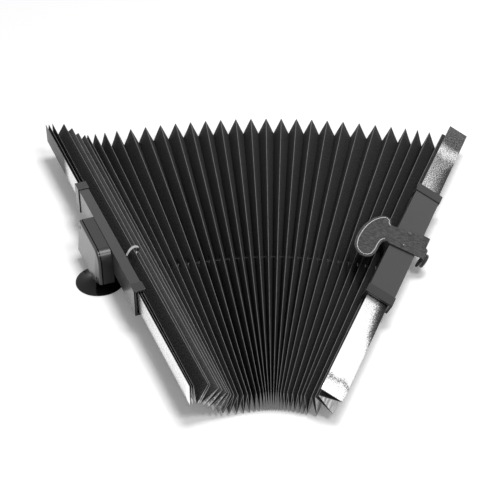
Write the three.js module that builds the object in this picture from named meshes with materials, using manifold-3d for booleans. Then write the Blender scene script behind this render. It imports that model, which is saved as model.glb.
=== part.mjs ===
// Retractable pleated windscreen sunshade, partly opened and lying fanned out on a flat surface.
// Millimetres, +Z up. The wide end of the fan points along +Y, the suction cup bar is on the -X side.
import * as THREE from 'three';
import { mergeVertices } from 'three/addons/utils/BufferGeometryUtils.js';
import Module from 'manifold-3d';

const wasm = await Module();
wasm.setup();

// Pleated film
const shadeHeight = 650;
const pleatDepth = 31;
const pleatCount = 34;
const filmThickness = 0.6;
const barHeading = -22.3;
const narrowEndX = -71.8;
const narrowEndY = -359.2;

// How the pleats lie, in degrees: how far each leans towards the pulled bar, and its half opening.
// Between the pleats named here both values change evenly.
const pleatStages = [
  { pleat: 0, narrow: { lean: 0, half: 3.8 }, wide: { lean: 0, half: 9 } },
  { pleat: 1, narrow: { lean: 0.8, half: 3.8 }, wide: { lean: 0, half: 9 } },
  { pleat: 2, narrow: { lean: -2, half: 3.7 }, wide: { lean: -1, half: 2.5 } },
  { pleat: 3, narrow: { lean: 26.5, half: 2.3 }, wide: { lean: 30.5, half: 3.1 } },
  { pleat: 4, narrow: { lean: 27, half: 2.3 }, wide: { lean: 48.5, half: 10.3 } },
  { pleat: 5, narrow: { lean: 44.5, half: 5.8 }, wide: { lean: 42.5, half: 22.8 } },
  { pleat: 7, narrow: { lean: 41.5, half: 8.3 }, wide: { lean: 3, half: 10.5 } },
  { pleat: 9, narrow: { lean: 25.8, half: 6.2 }, wide: { lean: 0, half: 16.8 } },
  { pleat: 11, narrow: { lean: 12.5, half: 9.2 }, wide: { lean: 0, half: 23 } },
  { pleat: 14, narrow: { lean: -2.7, half: 6.3 }, wide: { lean: 0, half: 23.3 } },
  { pleat: 18, narrow: { lean: -4, half: 2.3 }, wide: { lean: 0, half: 23.4 } },
  { pleat: 22, narrow: { lean: 0.7, half: 2.3 }, wide: { lean: 0, half: 23.4 } },
  { pleat: 26, narrow: { lean: -2.2, half: 4.8 }, wide: { lean: 0, half: 25.2 } },
  { pleat: 28, narrow: { lean: 1.1, half: 5.4 }, wide: { lean: 0, half: 24.1 } },
  { pleat: 30, narrow: { lean: -3.3, half: 4.7 }, wide: { lean: 0, half: 16.4 } },
  { pleat: 31, narrow: { lean: -3.4, half: 11.2 }, wide: { lean: -1, half: 20.8 } },
  { pleat: 32, narrow: { lean: -27.3, half: 21.3 }, wide: { lean: -26.5, half: 43.8 } },
  { pleat: 33, narrow: { lean: -62.7, half: 24.6 }, wide: { lean: -53.8, half: 16.3 } },
  { pleat: 34, narrow: { lean: -93.6, half: 28.6 }, wide: { lean: -87.2, half: 22.2 } },
];
const settledPleat = 14;
const filmSegments = 6;

// Bars that carry the two end panels
const fit = 0.3;
const barLength = 274;
const barFromNarrowEnd = 329;
const barWall = 2;
const barDepth = 14;
const panelPlay = 1.5;
const tapeThickness = 2.2;
const tapeHeight = 20;
const tapeLength = 80;
const clipLength = 18;
const clipWall = 1;

// Pull cord and its holes, seen along the pleats from their narrow end
const cordRadius = 0.6;
const cordHoleRadius = 2.2;
const cordFromNarrowEnd = 294;
const cordSides = 8;
const cordTurn = 4;
const stopRadius = 4;
const eyeletBore = 1.2;
const eyeletWall = 1;
const eyeletRim = 1.6;
const eyeletRimHeight = 0.9;

// Retractor housing
const housingLength = 93;
const housingHeight = 52;
const housingNoseFromNarrowEnd = 287;
const housingBelowBarTop = 1;
const housingBodyWidth = 16.6;
const housingWall = 1.8;
const housingNoseRadius = 17;
const housingCornerRadius = 3;
const coverThickness = 3.2;
const coverFlare = 5.5;
const flareRun = 15;
const screwRadius = 1.2;
const screwHeadRadius = 2.5;
const screwHeadHeight = 1.6;
const screwPostRadius = 3.2;
const coverPostInset = 8;
const barScrewInset = 4;
const screwGrip = 9;

// Spring reel
const reelFromHousingNose = 50.2;
const reelSeatHeight = 1.4;
const axleBossWall = 2.2;
const reelFlangeRadius = 21;
const reelBarrelRadius = 16;
const reelWall = 1.3;
const reelWidth = 9;
const axleRadius = 2;
const woundCordDepth = 2;
const springStrip = 0.5;
const springTurns = 4;
const springHeight = 5.4;

// Suction cup
const cupRadius = 34;
const cupHeight = 14.2;
const cupRim = 1.3;
const cupHollow = 3.6;
const cupNeckRadius = 9;
const cupNeckHeight = 4.5;
const cupLip = 3.5;
const studSink = 7.2;
const cupFromHousingNose = 30;
const cupFromBar = 13;
const studRadius = 2.5;
const nutRadius = 5.5;
const nutHeight = 4;

// Hook on the fixed bar
const hookWidth = 5;
const hookThickness = 0.9;
const hookFromNarrowEnd = 274;
const hookFoot = 8;
const hookPinRadius = 1;
const hookPinFromEdge = 5;

// Leather pull strap on the moving bar
const leatherThickness = 2;
const gripSpan = 100;
const strapOverhang = 10;
const tailLength = 22;
const tailWidth = 24;
const tailBendRadius = 3.5;
const tailBendAngle = 1.3;
const snapRadius = 10.5;
const snapHeight = 4.6;
const snapX = 4;
const snapFromStrap = 10;
const rivetRadius = 1.5;
const rivetHeadRadius = 3;
const rivetHeadHeight = 1.3;
const rivetSpacing = 30;
const rivetShift = -2;
const stitchInset = 3.4;
const stitchWidth = 0.9;
const stitchHeight = 0.5;

// Sizes that follow from those above
const filmSide = filmThickness / 2;
const webInner = filmSide + fit + tapeThickness + fit;
const webOuter = webInner + barWall;
const flangeTip = webOuter - barDepth;
const barHalf = pleatDepth / 2 + panelPlay + barWall;
const housingTop = barHalf - housingBelowBarTop;
const housingBottom = housingTop - housingHeight;
const housingBack = webOuter + fit;
const housingNose = housingNoseFromNarrowEnd - barFromNarrowEnd;
const housingEnd = housingNose + housingLength;
const barCentreHeight = cupHeight + fit - housingBottom;
const cordStation = cordFromNarrowEnd - barFromNarrowEnd;
const degree = Math.PI / 180;

// Materials
const finish = (color, roughness, metalness = 0) =>
  new THREE.MeshStandardMaterial({ color, roughness, metalness });
const filmFinish = () => finish(0x1c1c1e, 0.9);
const plasticFinish = () => finish(0x454547, 0.45);
const darkPlasticFinish = () => finish(0x2b2b2d, 0.5);
const leatherFinish = () => finish(0x3f3e3f, 0.7);
const rubberFinish = () => finish(0x0d0d0e, 0.3);
const steelFinish = () => finish(0xc8cacc, 0.3, 1);
const foamFinish = () => finish(0xd8d8d4, 0.9);
const threadFinish = () => finish(0xd6d2cc, 0.8);
const cordFinish = () => finish(0x2e2e30, 0.7);

// Solid helpers
function solid(geometry) {
  let plain = geometry.clone();
  for (const name of Object.keys(plain.attributes)) {
    if (name !== 'position') plain.deleteAttribute(name);
  }
  plain = mergeVertices(plain, 1e-5);
  return new wasm.Manifold(new wasm.Mesh({
    numProp: 3,
    vertProperties: new Float32Array(plain.attributes.position.array),
    triVerts: new Uint32Array(plain.index.array),
  }));
}

function geometryOf(body) {
  const mesh = body.getMesh();
  const geometry = new THREE.BufferGeometry();
  geometry.setAttribute('position', new THREE.BufferAttribute(mesh.vertProperties, 3));
  geometry.setIndex(new THREE.BufferAttribute(mesh.triVerts, 1));
  geometry.computeVertexNormals();
  return geometry;
}

function cut(geometry, ...tools) {
  let body = solid(geometry);
  for (const tool of tools) body = body.subtract(solid(tool));
  return geometryOf(body);
}

function join(geometry, ...others) {
  let body = solid(geometry);
  for (const other of others) body = body.add(solid(other));
  return geometryOf(body);
}

function part(name, geometry, material) {
  const mesh = new THREE.Mesh(geometry, material);
  mesh.name = name;
  return mesh;
}

// In a bar's own frame X runs along the bar, Y points out of the shade and Z up the end panel.
const X = new THREE.Vector3(1, 0, 0);
const Y = new THREE.Vector3(0, 1, 0);
const Z = new THREE.Vector3(0, 0, 1);

function polygon(points) {
  return new THREE.Shape(points.map(([u, v]) => new THREE.Vector2(u, v)));
}

// An outline in Y and Z, run along the bar
function alongBar(outline, from, to) {
  const geometry = new THREE.ExtrudeGeometry(outline, { depth: to - from, bevelEnabled: false });
  geometry.applyMatrix4(new THREE.Matrix4().makeBasis(Y, Z, X));
  return geometry.translate(from, 0, 0);
}

// An outline in X and Z, run outwards from the bar
function outFromBar(outline, from, to) {
  const geometry = new THREE.ExtrudeGeometry(outline, {
    depth: to - from, bevelEnabled: false, curveSegments: 6,
  });
  geometry.applyMatrix4(new THREE.Matrix4().makeBasis(X, Z, Y.clone().negate()));
  return geometry.translate(0, to, 0);
}

function box(x0, x1, y0, y1, z0, z1) {
  const geometry = new THREE.BoxGeometry(x1 - x0, y1 - y0, z1 - z0);
  return geometry.translate((x0 + x1) / 2, (y0 + y1) / 2, (z0 + z1) / 2);
}

// A round bar, pin or hole whose axis points out of the shade
function roundOut(radius, x, z, from, to, sides = 16) {
  const geometry = new THREE.CylinderGeometry(radius, radius, to - from, sides);
  return geometry.translate(x, (from + to) / 2, z);
}

// A turned piece whose axis points out of the shade; its profile is pairs of radius and height
function turnedOut(profile, x, z, y, sides = 32) {
  const points = profile.map(([r, h]) => new THREE.Vector2(r, h));
  return new THREE.LatheGeometry(points, sides).translate(x, y, z);
}

// A flat strip of even thickness that follows a line of points
function stripOutline(points, thickness) {
  const left = [];
  const right = [];
  points.forEach((point, i) => {
    const before = points[Math.max(i - 1, 0)];
    const after = points[Math.min(i + 1, points.length - 1)];
    const side = new THREE.Vector2(after.y - before.y, before.x - after.x).normalize();
    left.push(point.clone().addScaledVector(side, thickness / 2));
    right.unshift(point.clone().addScaledVector(side, -thickness / 2));
  });
  return new THREE.Shape([...left, ...right]);
}

function roundedBox(width, height, radius, x = 0, z = 0) {
  const shape = new THREE.Shape();
  const w = width / 2;
  const h = height / 2;
  shape.moveTo(x - w + radius, z - h);
  shape.lineTo(x + w - radius, z - h);
  shape.absarc(x + w - radius, z - h + radius, radius, -Math.PI / 2, 0);
  shape.absarc(x + w - radius, z + h - radius, radius, 0, Math.PI / 2);
  shape.absarc(x - w + radius, z + h - radius, radius, Math.PI / 2, Math.PI);
  shape.absarc(x - w + radius, z - h + radius, radius, Math.PI, 1.5 * Math.PI);
  return shape;
}

// The pleated film: fold lines as pairs of points, one at the narrow and one at the wide end
function stageAt(pleat, end) {
  let i = 0;
  while (i < pleatStages.length - 2 && pleatStages[i + 1].pleat < pleat) i += 1;
  const a = pleatStages[i];
  const b = pleatStages[i + 1];
  const share = (pleat - a.pleat) / (b.pleat - a.pleat);
  return {
    lean: THREE.MathUtils.lerp(a[end].lean, b[end].lean, share) * degree,
    half: THREE.MathUtils.lerp(a[end].half, b[end].half, share) * degree,
  };
}

// How far the pleats between the fixed bar and the open fan step down
function drop(end, slump) {
  let sum = 0;
  for (let pleat = 1; pleat < settledPleat; pleat += 1) {
    const { lean, half } = stageAt(pleat, end);
    sum += 2 * pleatDepth * Math.sin(half) * Math.sin(lean * slump);
  }
  return sum;
}

// The share of the leans that lets the open fan lie on the ground
function settle(end) {
  const wanted = barCentreHeight - pleatDepth / 2 - filmSide;
  let low = 0;
  let high = 1.6;
  for (let i = 0; i < 40; i += 1) {
    const middle = (low + high) / 2;
    if (drop(end, middle) < wanted) low = middle;
    else high = middle;
  }
  return (low + high) / 2;
}

function foldLines() {
  const slump = { narrow: settle('narrow'), wide: settle('wide') };
  const heading = barHeading * degree;
  const top = barCentreHeight + pleatDepth / 2;
  const narrow = new THREE.Vector3(narrowEndX, narrowEndY, top);
  const wide = narrow.clone().add(
    new THREE.Vector3(Math.sin(heading), Math.cos(heading), 0).multiplyScalar(shadeHeight));
  const lines = [{ narrow: narrow.clone(), wide: wide.clone() }];
  const step = (point, across, tilt, rise) => {
    point.addScaledVector(across, rise * pleatDepth * Math.sin(tilt));
    point.z += rise * pleatDepth * Math.cos(tilt);
  };
  const tiltOf = (pleat, end, rise) => {
    if (pleat === 0) return 0;
    const { lean, half } = stageAt(pleat, end);
    return lean * (pleat < settledPleat ? slump[end] : 1) + rise * half;
  };
  for (let pleat = 0; pleat <= pleatCount; pleat += 1) {
    for (const rise of [1, -1]) {
      if (pleat === 0 && rise === 1) continue;
      if (pleat === pleatCount && rise === -1) continue;
      const across = new THREE.Vector3(wide.y - narrow.y, narrow.x - wide.x, 0).normalize();
      step(narrow, across, tiltOf(pleat, 'narrow', rise), rise);
      step(wide, across, tiltOf(pleat, 'wide', rise), rise);
      lines.push({ narrow: narrow.clone(), wide: wide.clone() });
    }
  }
  return lines;
}

const folds = foldLines();

function alongFold(fold, station) {
  return fold.narrow.clone().lerp(fold.wide, station / shadeHeight);
}

// One cross-section of the film: two points on the outside of each fold, one on its inside
function filmSection(end) {
  const points = folds.map((fold) => fold[end]);
  const along = folds.map((fold) => fold.wide.clone().sub(fold.narrow).normalize());
  const upper = [];
  const lower = [];
  points.forEach((point, i) => {
    const normal = (from, to) => points[to].clone().sub(points[from]).cross(along[i]).normalize();
    if (i === 0 || i === points.length - 1) {
      const n = i === 0 ? normal(0, 1) : normal(i - 1, i);
      upper.push(point.clone().addScaledVector(n, filmSide));
      lower.push(point.clone().addScaledVector(n, -filmSide));
      return;
    }
    const before = normal(i - 1, i);
    const after = normal(i, i + 1);
    const middle = before.clone().add(after).normalize();
    const reach = filmSide / middle.dot(before);
    const ridge = i % 2 === 0;
    const outside = ridge ? upper : lower;
    const inside = ridge ? lower : upper;
    const side = ridge ? 1 : -1;
    outside.push(point.clone().addScaledVector(before, side * filmSide));
    outside.push(point.clone().addScaledVector(after, side * filmSide));
    inside.push(point.clone().addScaledVector(middle, -side * reach));
  });
  return [...upper, ...lower.reverse()];
}

// The caps are strips between the two faces of the film, one strip to a panel and a small one to a fold
function filmCap(total) {
  const faces = [];
  const lowerIndex = (i) => total - 1 - i;
  let u = 0;
  let l = 0;
  for (let i = 0; i < folds.length - 1; i += 1) {
    faces.push([u, u + 1, lowerIndex(l + 1)], [u, lowerIndex(l + 1), lowerIndex(l)]);
    u += 1;
    l += 1;
    if (i === folds.length - 2) break;
    const ridge = (i + 1) % 2 === 0;
    if (ridge) {
      faces.push([u, u + 1, lowerIndex(l)]);
      u += 1;
    } else {
      faces.push([u, lowerIndex(l + 1), lowerIndex(l)]);
      l += 1;
    }
  }
  return faces;
}

// Both faces of a twisted panel are split along the same diagonal, so that they stay apart
function filmGeometry() {
  const narrow = filmSection('narrow');
  const wide = filmSection('wide');
  const count = narrow.length;
  const upperCount = count / 2;
  const positions = [];
  for (let s = 0; s <= filmSegments; s += 1) {
    for (let i = 0; i < count; i += 1) {
      positions.push(...narrow[i].clone().lerp(wide[i], s / filmSegments).toArray());
    }
  }
  const index = [];
  for (let s = 0; s < filmSegments; s += 1) {
    for (let i = 0; i < count; i += 1) {
      const a = s * count + i;
      const b = s * count + ((i + 1) % count);
      if (i < upperCount) index.push(a, b, a + count, b, b + count, a + count);
      else index.push(a, b, b + count, a, b + count, a + count);
    }
  }
  const last = filmSegments * count;
  for (const [a, b, c] of filmCap(count)) {
    index.push(a, c, b);
    index.push(last + a, last + b, last + c);
  }
  const geometry = new THREE.BufferGeometry();
  geometry.setAttribute('position', new THREE.Float32BufferAttribute(positions, 3));
  geometry.setIndex(index);
  return geometry;
}

// Frames of the two bars, each at the middle of its bar and the middle of its end panel
function barFrame(edge, foot, turned) {
  const middle = (station) => alongFold(edge, station).add(alongFold(foot, station)).multiplyScalar(0.5);
  const along = middle(shadeHeight).sub(middle(0)).normalize();
  const up = alongFold(edge, barFromNarrowEnd).sub(alongFold(foot, barFromNarrowEnd));
  up.addScaledVector(along, -up.dot(along)).normalize();
  const x = turned ? along.clone().negate() : along;
  const out = up.clone().cross(x);
  const matrix = new THREE.Matrix4().makeBasis(x, out, up);
  return matrix.setPosition(middle(barFromNarrowEnd));
}

const fixedFrame = barFrame(folds[0], folds[1], false);
const movingFrame = barFrame(folds[folds.length - 1], folds[folds.length - 2], true);

function barGroup(frame, parts) {
  const group = new THREE.Group();
  frame.decompose(group.position, group.quaternion, group.scale);
  group.scale.set(1, 1, 1);
  group.add(...parts);
  return group;
}

// Route of the pull cord from the reel through every pleat to the moving bar
const reelX = housingNose + reelFromHousingNose;
const reelZ = (housingTop + housingBottom) / 2;
const reelY = housingBack + housingWall + reelSeatHeight;
const windingRadius = reelBarrelRadius + woundCordDepth;
function cordRoute() {
  const local = (x, y, z) => new THREE.Vector3(x, y, z).applyMatrix4(fixedFrame);
  const reach = windingRadius + cordRadius + fit;
  const target = new THREE.Vector2(cordStation + cordTurn - reelX, -reelZ);
  const angle = Math.asin(reach / target.length()) - Math.atan2(target.y, -target.x);
  const startX = reelX - reach * Math.sin(angle);
  const startZ = reelZ + reach * Math.cos(angle);
  const windingY = reelY + reelWidth / 2;
  const at = (share) => local(
    THREE.MathUtils.lerp(startX, cordStation + cordTurn, share), windingY,
    THREE.MathUtils.lerp(startZ, 0, share));
  const points = [
    at(0),
    at(0.5),
    at(1),
    local(cordStation + cordTurn * 0.35, windingY - cordTurn * 0.35, 0),
    local(cordStation, windingY - cordTurn, 0),
    local(cordStation, webInner, 0),
  ];
  for (let i = 0; i < folds.length - 1; i += 1) {
    const a = alongFold(folds[i], cordFromNarrowEnd);
    points.push(a.add(alongFold(folds[i + 1], cordFromNarrowEnd)).multiplyScalar(0.5));
  }
  const stop = new THREE.Vector3(-cordStation, webInner - fit, 0);
  points.push(stop.applyMatrix4(movingFrame));
  return points;
}

// A cord is a chain of straight runs with a ring of corners at each point
function cordTube(points, radius) {
  const path = new THREE.CurvePath();
  for (let i = 0; i < points.length - 1; i += 1) {
    path.add(new THREE.LineCurve3(points[i], points[i + 1]));
  }
  const shape = new THREE.Shape();
  for (let i = 0; i < cordSides; i += 1) {
    const angle = (i / cordSides) * 2 * Math.PI;
    const corner = [radius * Math.cos(angle), radius * Math.sin(angle)];
    if (i === 0) shape.moveTo(...corner);
    else shape.lineTo(...corner);
  }
  shape.closePath();
  const spline = new THREE.CatmullRomCurve3(points, false, 'centripetal');
  return new THREE.ExtrudeGeometry(shape, { steps: points.length - 1, extrudePath: spline });
}

const route = cordRoute();

function pleatedShade() {
  const holes = cordTube(route.slice(5), cordHoleRadius);
  return part('pleated_shade', cut(filmGeometry(), holes), filmFinish());
}

// Bars, clips and tape
function channelOutline() {
  const inner = barHalf - barWall;
  return polygon([
    [flangeTip, -barHalf], [webOuter, -barHalf], [webOuter, barHalf], [flangeTip, barHalf],
    [flangeTip, inner], [webInner, inner], [webInner, -inner], [flangeTip, -inner],
  ]);
}

function clipOutline() {
  const near = barHalf + fit;
  const far = near + clipWall;
  const lip = flangeTip - fit;
  const lipFoot = barHalf - barWall;
  return polygon([
    [lip - clipWall, -far], [webOuter + fit + clipWall, -far], [webOuter + fit + clipWall, far],
    [lip - clipWall, far], [lip - clipWall, lipFoot], [lip, lipFoot], [lip, near],
    [webOuter + fit, near], [webOuter + fit, -near], [lip, -near], [lip, -lipFoot],
    [lip - clipWall, -lipFoot],
  ]);
}

function channel(name, ...tools) {
  const blank = alongBar(channelOutline(), -barLength / 2, barLength / 2);
  return part(name, tools.length ? cut(blank, ...tools) : blank, plasticFinish());
}

function clip(name, side) {
  const end = side * (barLength / 2);
  const start = end - side * clipLength;
  const geometry = alongBar(clipOutline(), Math.min(start, end), Math.max(start, end));
  return part(name, geometry, darkPlasticFinish());
}

function tape(name, from, low) {
  const geometry = box(from, from + tapeLength, filmSide + fit, webInner - fit, low, low + tapeHeight);
  return part(name, geometry, foamFinish());
}

// Retractor housing, its reel and its fasteners
function housingOutline(inset) {
  const left = housingNose + inset;
  const right = housingEnd - inset;
  const low = housingBottom + inset;
  const high = housingTop - inset;
  const nose = housingNoseRadius - inset;
  const corner = Math.max(housingCornerRadius - inset, 0.8);
  const shape = new THREE.Shape();
  shape.moveTo(left + corner, low);
  shape.lineTo(right - corner, low);
  shape.absarc(right - corner, low + corner, corner, -Math.PI / 2, 0);
  shape.absarc(right - corner, high - corner, corner, 0, Math.PI / 2);
  shape.absarc(left + nose, high - nose, nose, Math.PI / 2, Math.PI);
  shape.absarc(left + corner, low + corner, corner, Math.PI, 1.5 * Math.PI);
  return shape;
}

// The outer side leans outwards towards its foot and straightens at the nose
function flareAt(x, z) {
  const run = THREE.MathUtils.clamp((x - housingNose) / flareRun, 0, 1);
  return coverFlare * run * ((housingTop - z) / housingHeight);
}

function flared(geometry, from) {
  const position = geometry.attributes.position;
  for (let i = 0; i < position.count; i += 1) {
    if (position.getY(i) < from) continue;
    const lift = flareAt(position.getX(i), position.getZ(i));
    position.setY(i, position.getY(i) + lift);
  }
  return geometry;
}

const housingFace = housingBack + housingBodyWidth;
const coverPosts = [
  [housingNose + coverPostInset, housingBottom + coverPostInset],
  [housingEnd - coverPostInset, housingTop - coverPostInset],
];
const barScrews = [
  [housingNose + barScrewInset + screwPostRadius, -(pleatDepth / 2) + screwHeadRadius],
  [housingEnd - barScrewInset - screwPostRadius, -(pleatDepth / 2) + screwHeadRadius],
];
const cupX = housingNose + cupFromHousingNose;
const cupY = webOuter + cupFromBar;

function eyeletHole(from, to) {
  return roundOut(eyeletBore + eyeletWall + fit, cordStation, 0, from, to);
}

function retractorHousing() {
  const shell = flared(outFromBar(housingOutline(0), housingBack, housingFace), housingFace - 0.1);
  const floor = housingBack + housingWall;
  const hollow = outFromBar(housingOutline(housingWall), floor, housingFace + coverFlare + 2);
  const posts = coverPosts.map(([x, z]) => roundOut(screwPostRadius, x, z, floor - 0.5, housingFace));
  const bosses = barScrews.map(([x, z]) => roundOut(screwPostRadius, x, z, floor - 0.5, floor + screwGrip));
  const seat = roundOut(axleRadius + axleBossWall, reelX, reelZ, floor - 0.5, reelY - fit);
  const screwBore = screwRadius + fit;
  const beyond = housingFace + 9;
  const grip = floor + screwGrip - 1.5;
  const bores = [
    ...coverPosts.map(([x, z]) => roundOut(screwBore, x, z, housingFace - screwGrip, beyond)),
    ...barScrews.map(([x, z]) => roundOut(screwBore, x, z, housingBack - 1, grip)),
    roundOut(axleRadius + fit, reelX, reelZ, housingBack + 0.8, reelY + 1),
    new THREE.CylinderGeometry(studRadius + fit, studRadius + fit, 3 * housingWall, 24)
      .rotateX(Math.PI / 2).translate(cupX, cupY, housingBottom + housingWall / 2),
    eyeletHole(housingBack - 1, floor + 1),
  ];
  const body = join(cut(shell, hollow), ...posts, ...bosses, seat);
  return part('retractor_housing', cut(body, ...bores), plasticFinish());
}

function housingCover() {
  const inner = housingFace + fit;
  const outer = inner + coverThickness;
  const plate = flared(outFromBar(housingOutline(0), inner, outer), inner - 0.1);
  const lift = flareAt(reelX, reelZ);
  const boss = roundOut(axleRadius + axleBossWall, reelX, reelZ, reelY + reelWidth + fit, inner + lift + 1);
  const bores = [roundOut(axleRadius + fit, reelX, reelZ, reelY, inner + lift - 0.2)];
  for (const [x, z] of coverPosts) {
    const face = outer + flareAt(x, z);
    bores.push(roundOut(screwRadius + fit, x, z, inner - 1, face + 1));
    bores.push(roundOut(screwHeadRadius + fit, x, z, face - screwHeadHeight - fit, face + 4));
  }
  return part('housing_cover', cut(join(plate, boss), ...bores), plasticFinish());
}

function coverScrew(name, [x, z]) {
  const face = housingFace + fit + coverThickness + flareAt(x, z);
  const head = roundOut(screwHeadRadius, x, z, face - screwHeadHeight, face - 0.2);
  const shank = roundOut(screwRadius, x, z, housingFace - screwGrip + 1, face - 1);
  return part(name, join(head, shank), steelFinish());
}

function barScrew(name, [x, z]) {
  const head = roundOut(screwHeadRadius, x, z, webInner - fit - screwHeadHeight, webInner - fit);
  const end = housingBack + housingWall + screwGrip - 2.2;
  const shank = roundOut(screwRadius, x, z, webInner - screwHeadHeight, end);
  return part(name, join(head, shank), steelFinish());
}

function reel() {
  const bore = axleRadius + fit;
  const drum = reelBarrelRadius;
  const cavity = drum - reelWall;
  return part('cord_reel', turnedOut([
    [bore, 0], [reelFlangeRadius, 0], [reelFlangeRadius, reelWall], [drum, reelWall],
    [drum, reelWidth - reelWall], [reelFlangeRadius, reelWidth - reelWall],
    [reelFlangeRadius, reelWidth], [cavity, reelWidth], [cavity, reelWall], [bore, reelWall], [bore, 0],
  ], reelX, reelZ, reelY), darkPlasticFinish());
}

function woundCord() {
  const inner = reelBarrelRadius + fit;
  const low = reelWall + fit;
  const high = reelWidth - reelWall - fit;
  return part('wound_cord', turnedOut([
    [inner, low], [windingRadius, low], [windingRadius, high], [inner, high], [inner, low],
  ], reelX, reelZ, reelY), cordFinish());
}

function reelAxle() {
  const end = housingFace + fit + flareAt(reelX, reelZ) - 0.6;
  return part('reel_axle', roundOut(axleRadius, reelX, reelZ, housingBack + 1.1, end), steelFinish());
}

function mainspring() {
  const inner = axleRadius + fit + springStrip / 2;
  const outer = reelBarrelRadius - reelWall - fit - springStrip;
  const points = [];
  const stepsPerTurn = 16;
  const steps = springTurns * stepsPerTurn;
  for (let i = 0; i <= steps; i += 1) {
    const radius = THREE.MathUtils.lerp(inner, outer, i / steps);
    const angle = (i / stepsPerTurn) * 2 * Math.PI;
    points.push(new THREE.Vector2(reelX + radius * Math.cos(angle), reelZ + radius * Math.sin(angle)));
  }
  const low = reelY + reelWall + fit;
  const coil = outFromBar(stripOutline(points, springStrip), low, low + springHeight);
  return part('mainspring', coil, steelFinish());
}

function cordEyelet() {
  const barrel = eyeletBore + eyeletWall;
  const rim = barrel + eyeletRim;
  const length = housingBack + housingWall - webInner + fit;
  return part('cord_eyelet', turnedOut([
    [eyeletBore, -eyeletRimHeight], [rim, -eyeletRimHeight], [rim, 0], [barrel, 0],
    [barrel, length], [eyeletBore, length], [eyeletBore, -eyeletRimHeight],
  ], cordStation, 0, webInner - fit, 20), darkPlasticFinish());
}

function cordStop() {
  const plate = new THREE.Shape().absarc(-cordStation, 0, stopRadius, 0, 2 * Math.PI);
  plate.holes.push(new THREE.Path().absarc(-cordStation, 0, cordRadius + fit, 0, 2 * Math.PI));
  return part('cord_stop', outFromBar(plate, filmSide + fit, webInner - fit), steelFinish());
}

// Suction cup, its stud and its nut
function suctionCup() {
  const bore = studRadius + fit;
  const crown = cupHeight - cupNeckHeight;
  const profile = [
    [cupRadius - cupLip, 0], [cupRadius, 0], [cupRadius, cupRim],
    [cupRadius * 0.8, 3.2], [cupRadius * 0.55, 5.8],
    [cupNeckRadius + 4, crown - 1.2], [cupNeckRadius, crown], [cupNeckRadius, cupHeight], [bore, cupHeight],
    [bore, crown - 3], [0, crown - 3], [0, cupHollow], [cupRadius * 0.45, cupHollow * 0.7],
    [cupRadius * 0.72, cupHollow * 0.3], [cupRadius - cupLip, 0],
  ];
  const geometry = new THREE.LatheGeometry(profile.map(([r, h]) => new THREE.Vector2(r, h)), 32);
  geometry.rotateX(Math.PI / 2).translate(cupX, cupY, -barCentreHeight);
  return part('suction_cup', geometry, rubberFinish());
}

function standing(radius, from, to, sides = 24) {
  const geometry = new THREE.CylinderGeometry(radius, radius, to - from, sides);
  return geometry.rotateX(Math.PI / 2).translate(cupX, cupY, (from + to) / 2);
}

const housingFloor = housingBottom + housingWall;

function cupStud() {
  const foot = cupHeight - studSink - barCentreHeight;
  return part('cup_stud', standing(studRadius, foot, housingFloor + nutHeight + 1.5), steelFinish());
}

function cupNut() {
  const low = housingFloor + fit;
  const blank = standing(nutRadius, low, low + nutHeight, 6);
  const bore = standing(studRadius + fit, low - 1, low + nutHeight + 1);
  return part('cup_nut', cut(blank, bore), steelFinish());
}

// Chrome hook under the top flange of the fixed bar
const hookX = hookFromNarrowEnd - barFromNarrowEnd;
const hookFloor = pleatDepth / 2 + (panelPlay + filmSide) / 2 - 0.1;
const hookHoleY = flangeTip + hookPinFromEdge;

function hookPin(radius, height, z) {
  const pin = new THREE.CylinderGeometry(radius, radius, height, 20);
  return pin.rotateX(Math.PI / 2).translate(hookX, hookHoleY, z);
}

function hookPinHole(z) {
  return hookPin(hookPinRadius + fit, 8, z);
}

function strapHook() {
  const tip = flangeTip;
  const line = new THREE.SplineCurve([
    [tip + hookFoot, hookFloor], [tip + hookFoot / 2, hookFloor],
    [tip + 0.5, hookFloor], [tip - 2.2, hookFloor + 2],
    [tip - 4.5, barHalf + 4], [tip - 9, barHalf + 9], [tip - 14.5, barHalf + 10.6],
    [tip - 18.6, barHalf + 8], [tip - 18, barHalf + 3.2], [tip - 14.6, barHalf - 1.4],
  ].map(([y, z]) => new THREE.Vector2(y, z)));
  const outline = stripOutline(line.getPoints(27), hookThickness);
  const strip = alongBar(outline, hookX - hookWidth / 2, hookX + hookWidth / 2);
  return part('strap_hook', cut(strip, hookPinHole(hookFloor)), steelFinish());
}

function hookRivet() {
  const foot = hookFloor - hookThickness / 2 + 0.05;
  const pin = hookPin(hookPinRadius, barHalf - foot, (foot + barHalf) / 2);
  return part('hook_rivet', pin, steelFinish());
}

// Leather pull strap: a bean-shaped grip, a neck, the part riveted to the bar and a folded tail
const strapBack = webOuter + fit;
const strapFront = strapBack + leatherThickness;
const strapEnd = -(barHalf + strapOverhang);

// Outline of the grip from one side of the neck round to the other, in shares of the grip's span
const gripPoints = [
  [0.25, 0.06], [0.31, 0.105], [0.42, 0.12], [0.58, 0.125], [0.71, 0.155], [0.795, 0.24],
  [0.79, 0.35], [0.69, 0.43], [0.52, 0.46], [0.32, 0.455], [0.12, 0.42], [-0.06, 0.355],
  [-0.185, 0.27], [-0.225, 0.195], [-0.19, 0.13], [-0.13, 0.11], [-0.11, 0.075],
];

function strapPoint(x, z) {
  return new THREE.Vector2(x * gripSpan, z * gripSpan + barHalf);
}

function gripLine() {
  return new THREE.SplineCurve(gripPoints.map(([x, z]) => strapPoint(x, z)));
}

function strapShape() {
  const footLeft = -gripSpan * 0.32;
  const footRight = gripSpan * 0.16;
  const outline = [
    new THREE.Vector2(footRight, strapEnd), strapPoint(0.26, 0), ...gripLine().getPoints(64),
    strapPoint(-0.15, 0), new THREE.Vector2(footLeft * 0.97, strapEnd + strapOverhang),
    new THREE.Vector2(footLeft, strapEnd),
  ];
  return new THREE.Shape(outline);
}

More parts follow.
